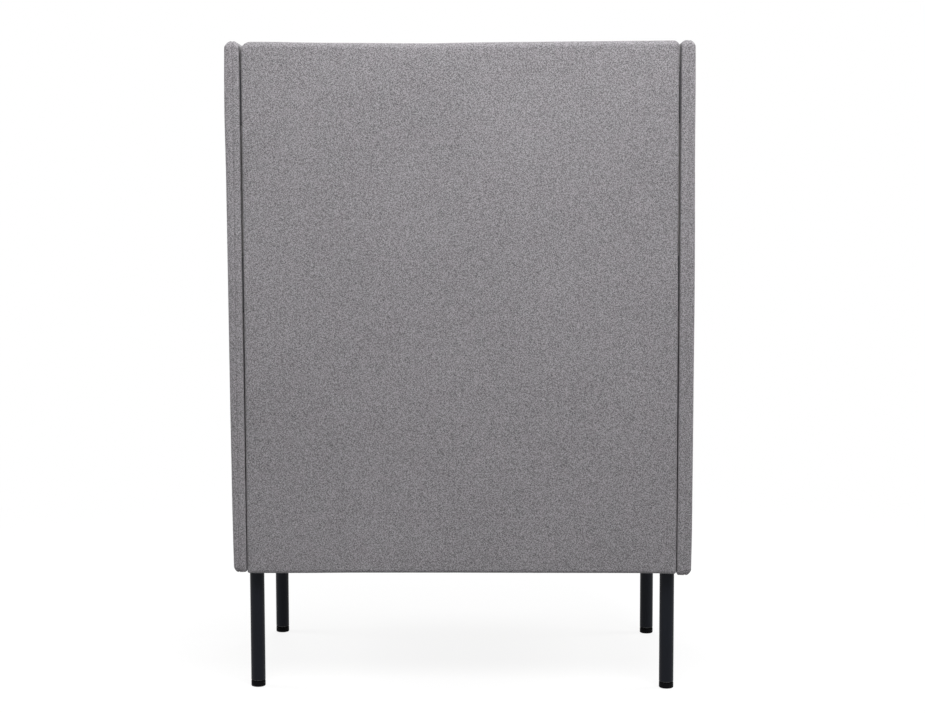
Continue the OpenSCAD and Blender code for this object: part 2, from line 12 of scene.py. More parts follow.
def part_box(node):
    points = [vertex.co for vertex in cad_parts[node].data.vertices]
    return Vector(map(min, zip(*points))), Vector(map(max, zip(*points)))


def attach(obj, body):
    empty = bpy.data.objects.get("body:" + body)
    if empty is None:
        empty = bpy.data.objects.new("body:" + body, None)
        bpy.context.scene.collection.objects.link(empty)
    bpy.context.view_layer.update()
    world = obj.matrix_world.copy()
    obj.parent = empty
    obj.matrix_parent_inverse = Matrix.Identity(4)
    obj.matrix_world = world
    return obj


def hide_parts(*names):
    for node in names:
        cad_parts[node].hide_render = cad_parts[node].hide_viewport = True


bl_info = {
    "name": "Study pod",
    "version": (1, 0, 0),
    "blender": (4, 5, 0),
    "location": "View3D > Sidebar > Study pod",
    "description": "Felt, screw feet, weld seams, finishes and a studio for a study pod",
    "category": "Object",
}

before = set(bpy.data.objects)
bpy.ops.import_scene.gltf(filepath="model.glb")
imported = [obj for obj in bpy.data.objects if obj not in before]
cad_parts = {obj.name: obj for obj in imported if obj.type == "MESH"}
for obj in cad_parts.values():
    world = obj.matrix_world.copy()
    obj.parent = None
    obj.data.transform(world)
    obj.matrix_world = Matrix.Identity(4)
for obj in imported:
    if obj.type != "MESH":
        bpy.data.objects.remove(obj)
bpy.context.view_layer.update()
CORNERS = ("rear_left", "rear_right", "front_left", "front_right")


def size_of(node):
    low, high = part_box(node)
    return high - low


def middle_of(node):
    low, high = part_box(node)
    return (low + high) / 2


BACK_SIZE = size_of("back_panel_cover")
SIDE_SIZE = size_of("left_panel_cover")
# The gaps beside the back panel lie at GAP_AT on either side of the middle and start at GAP_FROM
GAP_AT = (BACK_SIZE.x / 2 + middle_of("right_panel_cover").x - SIDE_SIZE.x / 2) / 2
GAP_FROM = middle_of("back_panel_cover").y - BACK_SIZE.y / 2


# Sizes and colours that a user would change


def number(name, description, default, least=0.0, **more):
    return FloatProperty(name=name, description=description, default=default, min=least, **more)


def metres(name, description, default, least=0.0):
    return number(name, description, default, least, unit="LENGTH")


def rounding(name, where, default):
    return metres(f"{name} rounding", f"Rounding of {where}", default, 0.002)


def watts(name, description, default):
    return number(name, description, default, subtype="POWER")


def rgb(name, description, default):
    return FloatVectorProperty(
        name=name, description=description, default=default, subtype="COLOR", min=0, max=1
    )


class PodFeltSettings(bpy.types.PropertyGroup):
    """The felt, and the shape that it takes over the foam"""

    colour: rgb("Felt colour", "Average colour of the mixed fibres", (0.241, 0.231, 0.243))
    grain_size: metres("Grain size", "Width of the light and dark flecks", 0.0019, 0.001)
    grain_contrast: number("Grain contrast", "How far flecks differ from the average", 0.9)
    fibre_size: metres("Fibre spacing", "Distance between the curled fibres", 0.0022, 0.0005)
    crown: rounding("Top", "a panel's top edge on each face", 0.0144)
    hem: rounding("Hem", "the back panel's lower edge on each face", 0.0072)
    outer_hem: rounding("Outer hem", "a side panel's lower edge on its outer face", 0.0135)
    inner_hem: rounding("Inner hem", "a side panel's lower edge on its inner face", 0.0035)
    upright: rounding("Upright", "a panel's upright edges", 0.0052)
    corner: rounding("Corner", "a panel's corners, seen square to its face", 0.0135)
    low_corner: rounding("Lower corner", "the back panel's lower corners", 0.005)
    seam_depth: metres("Seam depth", "How far the sewn seam pulls the felt in", 0.001)
    pressure: number("Foam pressure", "How hard foam presses the settling felt outwards", 4)
    most_swell: metres("Most swell", "How far a point may move as the felt settles", 0.0015)
    ripple: metres("Ripple", "Height of the slight waves in the stretched felt", 0.00022)
    seed: IntProperty(name="Seed", description="Chooses the slight waves", default=7, min=0)


class PodSteelSettings(bpy.types.PropertyGroup):
    """The legs, rails and brackets, and the welds between them"""

    colour: rgb("Powder coat", "Colour of the coated steel", (0.0068, 0.0081, 0.012))
    bead: metres("Weld bead", "Radius of a weld bead", 0.0019, 0.0005)
    bead_step: metres("Weld ripple", "Distance between a bead's ripples", 0.0019, 0.0005)


class PodFootSettings(bpy.types.PropertyGroup):
    """The screws of the levelling feet"""

    thread: metres("Thread diameter", "Outer diameter of the foot screw's thread", 0.008, 0.004)
    pitch: metres("Thread pitch", "Distance between the turns of the thread", 0.00125, 0.0005)
    hexagon_top: metres("Hexagon top", "Its upper face's height above the floor", 0.0137, 0.005)
    hexagon_height: metres("Hexagon height", "Height of its hexagon for a spanner", 0.0015, 0.001)
    neck: metres("Neck diameter", "Diameter of the neck that turns in the base", 0.01, 0.004)
    head: metres("Captive head", "Diameter of the head held inside the base", 0.0126, 0.006)


class PodWorktopSettings(bpy.types.PropertyGroup):
    """The laminate of the worktop"""

    light_wood: rgb("Light wood", "Colour of the pale growth", (0.56, 0.395, 0.225))
    dark_wood: rgb("Dark wood", "Colour of the dark growth", (0.385, 0.24, 0.115))


class PodStageSettings(bpy.types.PropertyGroup):
    """The studio: lamps, sky and camera"""

    sky: number("Room light", "Strength of the even light from all sides", 0.188)
    key_power: watts("Key lamp", "Power of the soft lamp above the camera", 100)
    top_power: watts("Top lamp", "Power of the soft lamp above the pod", 19.5)
    front_power: watts("Front lamp", "Power of the soft lamp on the open side", 52)
    side_power: watts("Side lamps", "Power of each of the soft lamps beside the pod", 44)
    shadow: number("Floor shadow", "Share of the floor's light that it takes", 0.15, max=1)
    focal_length: number("Focal length", "The camera's focal length in millimetres", 74.25, 10)


# Shader nodes


def arithmetic(operation):
    """The method that adds a Math node for an operator, and its reflected form"""

    def plain(self, other):
        return self.math(operation, self, other)

    def reflected(self, other):
        return self.math(operation, other, self)

    return plain, reflected


class Term:
    """One value in a shader. Plain arithmetic on it adds the Math nodes that work it out."""

    def __init__(self, finish, socket):
        self.finish = finish
        self.socket = socket

    def math(self, operation, *values):
        settings = {"operation": operation}
        return self.finish.add("ShaderNodeMath", settings, dict(enumerate(values)))

    __add__, __radd__ = arithmetic("ADD")
    __sub__, __rsub__ = arithmetic("SUBTRACT")
    __mul__, __rmul__ = arithmetic("MULTIPLY")
    __truediv__, __rtruediv__ = arithmetic("DIVIDE")

    def __abs__(self):
        return self.math("ABSOLUTE", self)

    def sine(self):
        return self.math("SINE", self)

    def most(self, other):
        return self.math("MAXIMUM", self, other)

    def held(self):
        """The value kept between 0 and 1"""
        return self.finish.add("ShaderNodeClamp", {}, {"Value": self})

    def rise(self, low, high):
        """0 below low, 1 above high and a smooth step between them"""
        settings = {"interpolation_type": "SMOOTHSTEP"}
        sockets = {"Value": self, "From Min": low, "From Max": high}
        return self.finish.add("ShaderNodeMapRange", settings, sockets)


class Finish:
    """A node tree being written: a material's or the world's"""

    def __init__(self, owner):
        owner.use_nodes = True
        self.owner = owner
        self.tree = owner.node_tree
        self.tree.nodes.clear()

    def add(self, kind, settings=None, sockets=None, out=0):
        """One output, as a term, of a new node whose settings are set before its sockets"""
        node = self.tree.nodes.new(kind)
        for key, value in (settings or {}).items():
            setattr(node, key, value)
        for key, value in (sockets or {}).items():
            if isinstance(value, Term):
                self.tree.links.new(value.socket, node.inputs[key])
            else:
                node.inputs[key].default_value = value
        return Term(self, node.outputs[out]) if node.outputs else None

    def parts(self, vector):
        split = self.add("ShaderNodeSeparateXYZ", {}, {"Vector": vector}).socket.node
        return [Term(self, output) for output in split.outputs]

    def vector(self, operation, first, by, socket=1):
        settings = {"operation": operation}
        return self.add("ShaderNodeVectorMath", settings, {0: first, socket: by})

    def stretched(self, vector, by):
        return self.vector("MULTIPLY", vector, by)

    def scaled(self, colour, by):
        """A colour made lighter or darker"""
        return self.vector("SCALE", colour, by, "Scale")

    def turned(self, vector, by):
        """Turned by three angles, so that no flat face lies along the pattern's own grid"""
        sockets = {"Vector": vector, "Rotation": by}
        return self.add("ShaderNodeVectorRotate", {"rotation_type": "EULER_XYZ"}, sockets)

    def noise(self, vector, scale, detail=2, roughness=0.5, twist=0, shift=None):
        """Noise of so many cells to the metre. A shift keeps it apart from other noise."""
        if shift:
            vector = self.vector("ADD", vector, shift)
        sockets = {"Vector": vector, "Scale": scale, "Detail": detail}
        sockets |= {"Roughness": roughness, "Distortion": twist}
        return self.add("ShaderNodeTexNoise", {}, sockets)

    def threads(self, vector, scale, width, twist, shift=None):
        """Thin curling lines, 1 on their middle and 0 between them"""
        lines = self.noise(vector, scale, detail=1, twist=twist, shift=shift)
        return (1 - abs(lines - 0.5) / width).held()

    def blend(self, factor, first, second):
        """A colour between two"""
        sockets = {0: factor, 6: (*first, 1.0), 7: (*second, 1.0)}
        return self.add("ShaderNodeMix", {"data_type": "RGBA"}, sockets, 2)

    def bump(self, height, distance, strength, **more):
        sockets = {"Height": height, "Distance": distance, "Strength": strength, **more}
        return self.add("ShaderNodeBump", {}, sockets)

    def surface(self, **sockets):
        """Closes the tree with one shader; an underscore in a socket's name stands for a space"""
        named = {key.replace("_", " "): value for key, value in sockets.items()}
        shader = self.add("ShaderNodeBsdfPrincipled", {}, named)
        self.add("ShaderNodeOutputMaterial", {}, {"Surface": shader})
        return self.owner


def new_finish(name):
    """A material being written, and the place on the piece as its first term"""
    if name in bpy.data.materials:
        raise RuntimeError(f"{name} has been made already")
    finish = Finish(bpy.data.materials.new(name))
    return finish, finish.add("ShaderNodeTexCoord", out="Object")


# Finishes


ASKEW = (0.52, 0.83, 0.37)
# Shares of the felt's colour in its warmer and its cooler patches
WARM, COOL = (1.0045, 0.9968, 1), (0.9955, 1.0032, 1)
# Between which distances off the seam its gathers fade
GATHER_OFF_SEAM = (0.0005, 0.0065)
# Felt in a gap beside the back panel carries painted light low down and painted shade high up. It
# sets in over a run before the gap and fades between two distances off the gap's middle.
GAP_RUN_IN, PAINTED_LIGHT_OFF_GAP = 0.004, (0.0013, 0.003)
# How much painted light that felt has low down, and how much it loses between two heights, which
# turns it to painted shade high up
GAP_PAINTED_LIGHT, GAP_FALL, GAP_HEIGHTS = 0.3, 0.75, (0.45, 1.1)
# Between which heights the rubbed spots of the legs and the scuffs of the feet fade
RUBBED_HEIGHTS, SCUFFED_HEIGHTS = (0.02, 0.16), (0.002, 0.012)


def felt_finish(name, seam_axis, seam_at):
    """Grey felt of mixed fibres, gathered a little along the seam that lies in one plane"""
    look = bpy.context.scene.pod_felt
    felt, here = new_finish(name)
    askew = felt.turned(here, ASKEW)
    fleck = felt.noise(askew, 1 / look.grain_size, detail=1, roughness=0.6)
    clump = felt.noise(askew, 380, detail=0, shift=(4.1, 2.7, 1.3))
    cloud = felt.noise(askew, 5, shift=(1.9, 5.2, 3.6))
    curls = 1 / look.fibre_size
    pale = felt.threads(askew, curls, width=0.055, twist=1.6, shift=(7.3, 0.8, 2.9))
    dark = felt.threads(askew, curls, width=0.05, twist=1.2, shift=(2.2, 6.4, 8.1))
    tone = 1 + look.grain_contrast * (fleck.rise(0.35, 0.65) - 0.5)
    tone = tone + 0.2 * (clump.rise(0.3, 0.7) - 0.5) + 0.14 * (cloud - 0.5)
    tone = tone + 0.26 * pale - 0.24 * dark
    warm, cool = [
        [channel * share for channel, share in zip(look.colour, shares)] for shares in (WARM, COOL)
    ]
    tint = felt.noise(askew, 30, detail=3, shift=(9.4, 3.3, 0.6))
    colour = felt.blend(tint.rise(0.3, 0.7), warm, cool)
    place = felt.parts(here)
    in_gap = 1 - abs(abs(place[0]) - GAP_AT).rise(*PAINTED_LIGHT_OFF_GAP)
    in_gap = in_gap * place[1].rise(GAP_FROM - GAP_RUN_IN, GAP_FROM)
    # Painted light on the felt in the gap low down, turning to painted shade high up
    lighter = GAP_PAINTED_LIGHT - GAP_FALL * place[2].rise(*GAP_HEIGHTS)
    tone = tone * (1 + in_gap * lighter)
    off_seam = abs(abs(place[seam_axis]) - seam_at)
    gather = felt.noise(felt.stretched(here, (0.4, 0.4, 1)), 190, detail=1)
    gather = (gather - 0.5) * (1 - off_seam.rise(*GATHER_OFF_SEAM))
    fuzz = felt.noise(askew, 900, shift=(5.5, 8.8, 4.4))
    height = 0.5 * fleck + 0.3 * pale + 0.2 * dark + 0.22 * fuzz
    weave = felt.bump(height, distance=0.0006, strength=0.6)
    return felt.surface(
        Base_Color=felt.scaled(colour, tone),
        Roughness=0.96 - 0.1 * pale,
        Specular_IOR_Level=0.2,
        Sheen_Weight=0.12,
        Sheen_Roughness=0.45,
        Normal=felt.bump(gather, distance=0.0016, strength=0.7, Normal=weave),
    )


def powder_coat_finish():
    """Slate powder coat: an even skin with the fine dimples that it sets with"""
    coat, here = new_finish("slate_coat")
    height = coat.parts(here)[2]
    dimples = coat.noise(here, 620, detail=1.5, roughness=0.45)
    grit = coat.noise(here, 2300, detail=1, shift=(3, 1, 2))
    cloud = coat.noise(here, 11, detail=3, shift=(6, 4, 5))
    rubbed = coat.noise(coat.stretched(here, (1, 1, 0.25)), 75, detail=4)
    low_down = 1 - height.rise(*RUBBED_HEIGHTS)
    rubbed = rubbed.rise(0.6, 0.72) * (0.15 + 0.6 * low_down)
    tone = 1 + 0.35 * (cloud - 0.5) + 0.3 * (grit - 0.5) + 0.55 * rubbed
    return coat.surface(
        Base_Color=coat.scaled(bpy.context.scene.pod_steel.colour, tone),
        Roughness=0.46 + 0.1 * (cloud - 0.5) + 0.12 * rubbed,
        Specular_IOR_Level=0.12,
        Normal=coat.bump(dimples + 0.25 * grit, distance=0.00012, strength=0.5),
    )


def metal_finish(name, colour, roughness, blotch, coated=0):
    """Plated or blackened metal with faint blotches and fine marks of handling"""
    metal, here = new_finish(name)
    patches = metal.noise(here, 160, detail=3)
    brushed = metal.stretched(here, (1, 0.3, 1))
    marks = metal.threads(brushed, 420, width=0.03, twist=0.4)
    fine = metal.noise(here, 1900, detail=1, shift=(1, 7, 3))
    tone = 1 + blotch * (patches - 0.5) - 0.12 * marks
    return metal.surface(
        Base_Color=metal.scaled(colour, tone),
        Metallic=1 - coated,
        Roughness=roughness + 0.25 * (patches - 0.5) + 0.1 * marks,
        Specular_IOR_Level=0.4,
        Normal=metal.bump(fine + 0.6 * marks, distance=0.00004, strength=0.5),
    )


def plastic_finish(name, colour, roughness, gloss=0.35, scuffed=0):
    """Moulded plastic with a spark-eroded grain, scuffed near the floor if asked"""
    plastic, here = new_finish(name)
    grain = plastic.noise(here, 1250, roughness=0.6)
    cloud = plastic.noise(here, 35, detail=3, shift=(2, 9, 4))
    flattened = plastic.stretched(here, (1, 1, 3))
    scuff = plastic.threads(flattened, 140, width=0.035, twist=2)
    low_down = 1 - plastic.parts(here)[2].rise(*SCUFFED_HEIGHTS)
    scuff = scuffed * scuff * low_down
    tone = 1 + 0.3 * (cloud - 0.5) + 0.25 * (grain - 0.5) + 1.6 * scuff
    return plastic.surface(
        Base_Color=plastic.scaled(colour, tone),
        Roughness=roughness + 0.12 * (cloud - 0.5) + 0.15 * scuff,
        Specular_IOR_Level=gloss,
        Normal=plastic.bump(grain, distance=0.00008, strength=0.55),
    )


def oak_finish(name, along):
    """Oak-patterned laminate, its pattern drawn out most along the smallest part of along"""
    look = bpy.context.scene.pod_worktop
    oak, here = new_finish(name)

    def drawn_out(times):
        return oak.stretched(here, [part * times for part in along])

    run = drawn_out(1)
    sway = oak.noise(drawn_out(0.5), 3)
    bands = oak.noise(run, 5, detail=4, roughness=0.62, twist=0.6)
    rings = oak.noise(run, 1.6, detail=1, shift=(5, 3, 8))
    rings = (rings * 90 + sway * 14).sine().rise(-0.9, 0.9)
    streaks = oak.noise(drawn_out(6), 7, detail=3)
    pores = oak.noise(drawn_out(5), 38, detail=1).rise(0.62, 0.72)
    share = 0.42 * bands + 0.22 * rings + 0.45 * streaks - 0.08
    colour = oak.blend(share.rise(0.22, 0.82), look.light_wood, look.dark_wood)
    tone = 1 - 0.38 * pores * (0.4 + 0.6 * bands) + 0.14 * (sway - 0.5)
    return oak.surface(
        Base_Color=oak.scaled(colour, tone),
        Roughness=0.42 + 0.14 * bands + 0.12 * pores,
        Specular_IOR_Level=0.4,
        Normal=oak.bump(1 - pores - 0.2 * streaks, distance=0.00006, strength=0.6),
    )


def board_finish():
    """Particle board: pressed chips of several tones"""
    board, here = new_finish("pressed_chips")
    sockets = {"Vector": here, "Scale": 260}
    chips = board.add("ShaderNodeTexVoronoi", {}, sockets, "Color")
    chip = board.parts(chips)[0]
    dust = board.noise(here, 700)
    colour = board.blend(chip, (0.6, 0.44, 0.26), (0.42, 0.29, 0.16))
    return board.surface(
        Base_Color=board.scaled(colour, 0.85 + 0.3 * dust),
        Roughness=0.75 + 0.15 * dust,
        Normal=board.bump(chip + 0.4 * dust, distance=0.0003, strength=0.6),
    )


def foam_finish():
    """Open-cell foam, seen where a cover is taken off"""
    foam, here = new_finish("pale_foam")
    cells = foam.add("ShaderNodeTexVoronoi", {}, {"Vector": here, "Scale": 900})
    cloud = foam.noise(here, 25)
    tone = 0.8 + 0.35 * cells + 0.15 * (cloud - 0.5)
    return foam.surface(
        Base_Color=foam.scaled((0.76, 0.72, 0.58), tone),
        Roughness=0.9 - 0.1 * cells,
        Normal=foam.bump(cells, distance=0.0004, strength=0.7),
    )


# Meshes


def new_piece(name, points, faces, finish, body):
    """A smooth mesh with its normals outwards, in the finish given, that rides on a body"""
    if name in bpy.data.objects:
        raise RuntimeError(f"{name} has been made already")
    mesh = bpy.data.meshes.new(name)
    mesh.from_pydata([tuple(p) for p in points], [], [tuple(f) for f in faces])
    work = bmesh.new()
    work.from_mesh(mesh)
    bmesh.ops.recalc_face_normals(work, faces=work.faces)
    for face in work.faces:
        face.smooth = True
    work.to_mesh(mesh)
    work.free()
    mesh.materials.append(finish)
    piece = bpy.data.objects.new(name, mesh)
    bpy.context.scene.collection.objects.link(piece)
    if body:
        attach(piece, body)
    return piece


def dress(finish, *nodes):
    """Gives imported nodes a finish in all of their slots"""
    for node in nodes:
        for material_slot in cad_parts[node].material_slots:
            material_slot.material = finish


def ring_faces(first, rings, count):
    """The faces of a closed shell of rings of points, the first of which has the number first"""
    last = first + (rings - 1) * count
    faces = []
    for low in range(first, last, count):
        for i in range(count):
            j = (i + 1) % count
            faces.append((low + i, low + j, low + count + j, low + count + i))
    return faces + [range(first, first + count), range(last, last + count)]


def box_grid(lines):
    """The points on the outside of a grid of lines along three axes, and the quads between them"""
    counts = [len(line) for line in lines]
    grid = np.indices(counts)
    ends = np.array(counts).reshape(3, 1, 1, 1) - 1
    outside = ((grid == 0) | (grid == ends)).any(0)
    number = np.full(counts, -1)
    number[outside] = np.arange(outside.sum())
    points = np.stack([line[index[outside]] for line, index in zip(lines, grid)], 1)
    quads = []
    for axis in range(3):
        for end in (0, counts[axis] - 1):
            side = np.take(number, end, axis)
            quad = (side[:-1, :-1], side[1:, :-1], side[1:, 1:], side[:-1, 1:])
            quads.append(np.stack(quad, -1).reshape(-1, 4))
    return points, np.concatenate(quads)


def rounded_outline(across, up, half_across, half_up, radius):
    """Distance outside a rounded rectangle, below zero inside it"""
    over_across = np.abs(across) - (half_across - radius)
    over_up = np.abs(up) - (half_up - radius)
    outside = np.hypot(np.maximum(over_across, 0), np.maximum(over_up, 0))
    return outside + np.minimum(np.maximum(over_across, over_up), 0) - radius


def crossing(distance, furthest):
    """Where each ray first leaves its form, found by halving from 0 to furthest"""
    low, high = np.zeros_like(furthest), furthest.copy()
    for _ in range(HALVINGS):
        half = (low + high) / 2
        outside = distance(half) > 0
        high = np.where(outside, half, high)
        low = np.where(outside, low, half)
    return (low + high) / 2


def smooth_step(value, low, high):
    share = np.clip((value - low) / (high - low), 0, 1)
    return share * share * (3 - 2 * share)


# Distances in millimetres of the grid lines from a panel's outline, and from its seam
OUTLINE_LINES = (0, 1.8, 3.6, 5.5, 7.8, 10.2, 12.6, 15, 19, 25, 34, 46)
SEAM_LINES = (0, 0.4, 0.9, 1.6, 2.6, 4, 6, 8.5, 11, 13.2)
PLAIN_CELL = 0.015
# How far inside a panel's outline the rays start along which its points slide
RAY_MARGIN = 0.015
HALVINGS = 40
# A ray that rises by less than this share keeps the rounding of the upright edges
UPRIGHT_SHARE = 0.1
# Half the width of the seam's groove, and the height, place and half width of the felt beside it
GROOVE_HALF = 0.0012
SHOULDER, SHOULDER_AT, SHOULDER_HALF = 0.0003, 0.0048, 0.003
# From which share of the way to the edge the seam pulls, and of the way to a face the face waves
SEAM_FROM, FACE_FROM = 0.75, 0.6
# Lengths of the waves in a face, and over what width beside the edges they die out
WAVES = (0.42, 0.31, 0.23, 0.17, 0.12, 0.09)
WAVE_FADE = 0.02
# Lengths of the tugs along the edges, their share of the waves' height, and how far in they reach
TUGS = (0.046, 0.063, 0.088)
TUG_SHARE, TUG_REACH = 0.35, 0.022


def outline_lines(half):
    """Lines from -half to half, close together at both ends"""
    near = half - np.array(OUTLINE_LINES) / 1000
    count = int(round(2 * near[-1] / PLAIN_CELL))
    plain = np.linspace(-near[-1], near[-1], count + 1)[1:-1]
    return np.concatenate([-near, plain, near[::-1]])


def seam_lines(half):
    near = np.append(np.array(SEAM_LINES) / 1000, half)
    return np.concatenate([-near[:0:-1], near])


# How far, in millimetres, the felt eases from its plain form. By share of the height: the outer
# face ("out"), the strip of side felt beside the back panel ("gap"), the back panel's end at -X
# ("end"). By share of the half width from the middle: the top and lower edges ("top", "low").
# "crown" and "corner" are shares of those roundings: on the outer and the inner face, and at the
# ends towards +X and -X.
FELT_EASE = {
    "back_panel": {
        "end": ((0, 0), (0.5, 0.2), (0.65, 1.3), (1, 1.8)),
        "top": ((-1, 0.2), (0, -0.9), (0.1, -2.4), (0.4, -0.6), (0.7, 1.2), (0.85, 3.4), (1, 3.8)),
        "low": ((-1, -1.6), (-0.9, 0), (0.1, 0), (0.5, -0.4), (0.8, -1.6), (1, -1.7)),
        "crown": (0.87, 1),
        "corner": (1.4, 0.8),
    },
    "left_panel": {
        "out": (
            (0, -3), (0.06, -1.5), (0.25, -0.7), (0.55, 0),
            (0.66, -0.4), (0.78, -1.6), (0.93, -1.5), (1, -2.3),
        ),
        "gap": ((0, 1.1), (0.3, 0.6), (0.5, 0.5), (0.65, 1.3), (1, 1.8)),
        "top": ((-1, 0), (0, 0), (1, -1)),
        "low": ((-1, -5), (1, -5)),
        "crown": (1, 0.82),
    },
    "right_panel": {
        "out": (
            (0, -5.6), (0.06, -4.1), (0.15, -3.2), (0.3, -2), (0.6, -0.6),
            (0.78, 0.4), (0.87, 2.2), (0.94, 1.4), (1, 0.2),
        ),
        "gap": ((0, 1.1), (0.3, 0.6), (0.5, 0), (1, 0)),
        "top": ((-1, 1.2), (0, 1.2), (1, 3.6)),
        "low": ((-1, -0.6), (1, -0.6)),
    },
}
# How deep, from behind, that strip of side felt reaches, and over what share its easing fades
GAP_DEPTH, GAP_FADE = 0.035, 0.3
# How far in from the upper and lower edges, and from the end at -X, their easing fades
EDGE_REACH, END_REACH = 0.12, 0.05
# How many points an easing curve has, and over how many of them it is smoothed
CURVE_POINTS, CURVE_WINDOW = 401, 61


def eased(ease, name, share):
    """An easing at each share, as a smoothed curve in metres, and none where no table gives it"""
    if name not in ease:
        return np.zeros_like(share)
    places, sizes = zip(*ease[name])
    fine = np.linspace(places[0], places[-1], CURVE_POINTS)
    curve = np.pad(np.interp(fine, places, sizes), CURVE_WINDOW // 2, "edge")
    window = np.hanning(CURVE_WINDOW)
    curve = np.convolve(curve, window / window.sum(), "valid")
    return np.interp(share, fine, curve) / 1000


def rounded_panel(halves, ease, hems, low_corner):
    """The points of a panel's rounded form with its seam, on three axes, and their quads.

    Each point of a box grid slides along a ray from the panel's middle plane until it meets the
    rounded form. Then the seam pulls the edges in.
    """
    look = bpy.context.scene.pod_felt
    half_out, half_along, half_up = halves
    points, quads = box_grid(
        [seam_lines(half_out), outline_lines(half_along), outline_lines(half_up)]
    )
    out, along, up = points.T
    core_along = np.clip(along, RAY_MARGIN - half_along, half_along - RAY_MARGIN)
    core_up = np.clip(up, RAY_MARGIN - half_up, half_up - RAY_MARGIN)
    run_along, run_up = along - core_along, up - core_up
    run = np.hypot(run_along, run_up)
    unit = np.maximum(run, 1e-9)
    way_along, way_up = run_along / unit, run_up / unit
    high_corner = look.corner * np.where(along > 0, *ease.get("corner", (1, 1)))
    corner = np.where(up > 0, high_corner, low_corner)

    def off_outline(length):
        place_along, place_up = core_along + length * way_along, core_up + length * way_up
        return rounded_outline(place_along, place_up, half_along, half_up, corner)

    reach = crossing(off_outline, np.full(len(run), 2 * RAY_MARGIN))
    hem = np.where(out > 0, *hems)
    crown = look.crown * np.where(out > 0, *ease.get("crown", (1, 1)))
    radius = look.upright + (crown - look.upright) * smooth_step(way_up, UPRIGHT_SHARE, 1)
    radius = radius + (hem - look.upright) * smooth_step(-way_up, UPRIGHT_SHARE, 1)
    radius = np.minimum(radius, np.minimum(reach, half_out))
    share = crossing(
        lambda length: rounded_outline(length * run, length * out, reach, half_out, radius),
        np.full(len(run), 2.0),
    )
    share = np.where(run > 0, share, 1.0)
    run, out = share * run, share * out
    on_edge = smooth_step(run / reach, SEAM_FROM, 1)
    groove = look.seam_depth * np.exp(-((out / GROOVE_HALF) ** 2))
    shoulder = SHOULDER * np.exp(-(((np.abs(out) - SHOULDER_AT) / SHOULDER_HALF) ** 2))
    run = run + on_edge * (shoulder - groove)
    return out, core_along + run * way_along, core_up + run * way_up, quads


def face_waves(along, up, inside, seed):
    """The felt's slight waves, with the tugs of its seam, that many times as high as a ripple"""
    random = np.random.default_rng(seed)
    wave = tug = 0
    for length in WAVES:
        turn = random.uniform(0, math.pi)
        phase = random.uniform(0, 2 * math.pi)
        travel = along * math.cos(turn) + up * math.sin(turn)
        wave += (length / WAVES[0]) ** 0.7 * np.sin(2 * math.pi * travel / length + phase)
    for length in TUGS:
        phase = random.uniform(0, 2 * math.pi, 2)
        tug += np.sin(2 * math.pi * along / length + phase[0])
        tug += np.sin(2 * math.pi * up / length + phase[1])
    return wave + TUG_SHARE * tug * np.exp(-inside / TUG_REACH)


def panel_shape(size, seed, ease, hems, low_corner):
    """A panel's felt skin, as (out of the pod, along, up) from its middle, with its quads"""
    look = bpy.context.scene.pod_felt
    halves = [part / 2 for part in size]
    half_out, half_along, half_up = halves
    out, along, up, quads = rounded_panel(halves, ease, hems, low_corner)
    inside = np.minimum(half_along - np.abs(along), half_up - np.abs(up))
    face = smooth_step(np.abs(out), FACE_FROM * half_out, half_out)
    swell = look.ripple * face_waves(along, up, inside, look.seed + seed)
    out = out + np.sign(out) * face * swell * smooth_step(inside, 0, WAVE_FADE)
    height, width = (up + half_up) / (2 * half_up), along / half_along
    outer, strip, end = [eased(ease, name, height) for name in ("out", "gap", "end")]
    top, low = [eased(ease, name, width) for name in ("top", "low")]
    fade_end = half_along - (1 - GAP_FADE) * GAP_DEPTH
    strip = strip * smooth_step(along, half_along - GAP_DEPTH, fade_end)
    out = out * (1 + np.where(out > 0, outer, strip) / half_out)
    along = along + end * smooth_step(-along, half_along - END_REACH, half_along)
    edge = half_up - EDGE_REACH
    up = up + top * smooth_step(up, edge, half_up) + low * smooth_step(-up, edge, half_up)
    return np.stack([out, along, up], 1), quads


# Settling of the felt: frames stepped, how firmly foam holds the felt of the outer face, and how
# far outwards from a panel's middle plane its points are held by the seam and the inner face
SETTLE_FRAMES = 12
FOAM_HOLD = 0.3
HELD_OUT = 0.003


def positions(mesh):
    flat = np.empty(3 * len(mesh.vertices))
    mesh.vertices.foreach_get("co", flat)
    return flat.reshape(-1, 3)


def settle(covers):
    """Lets foam press the felt of all covers outwards by a cloth simulation.

    Each cover comes with a mask of the points that the seam and the inner face hold.
    """
    scene = bpy.context.scene
    look = scene.pod_felt
    for piece, held in covers:
        group = piece.vertex_groups.new(name="held")
        group.add(np.flatnonzero(held).tolist(), 1.0, "REPLACE")
        group.add(np.flatnonzero(~held).tolist(), FOAM_HOLD, "REPLACE")
        cloth = piece.modifiers.new("felt_over_foam", "CLOTH")
        cloth.point_cache.frame_end = SETTLE_FRAMES
        felt = cloth.settings
        felt.quality = 4
        felt.mass = 0.3
        felt.tension_stiffness = felt.compression_stiffness = 40
        felt.shear_stiffness = 20
        felt.bending_stiffness = 5
        felt.use_pressure = True
        felt.uniform_pressure_force = look.pressure
        felt.vertex_group_mass = group.name
        felt.effector_weights.gravity = 0
        cloth.collision_settings.use_collision = False
    for step in range(SETTLE_FRAMES):
        scene.frame_set(step + 1)
    graph = bpy.context.evaluated_depsgraph_get()
    settled = [positions(piece.evaluated_get(graph).data) for piece, held in covers]
    for (piece, held), after in zip(covers, settled):
        before = positions(piece.data)
        move = after - before
        length = np.linalg.norm(move, axis=1, keepdims=True)
        move *= np.minimum(1, look.most_swell / np.maximum(length, 1e-9))
        piece.modifiers.clear()
        piece.vertex_groups.clear()
        piece.data.vertices.foreach_set("co", (before + move).ravel())
        piece.data.update()
    scene.frame_set(1)


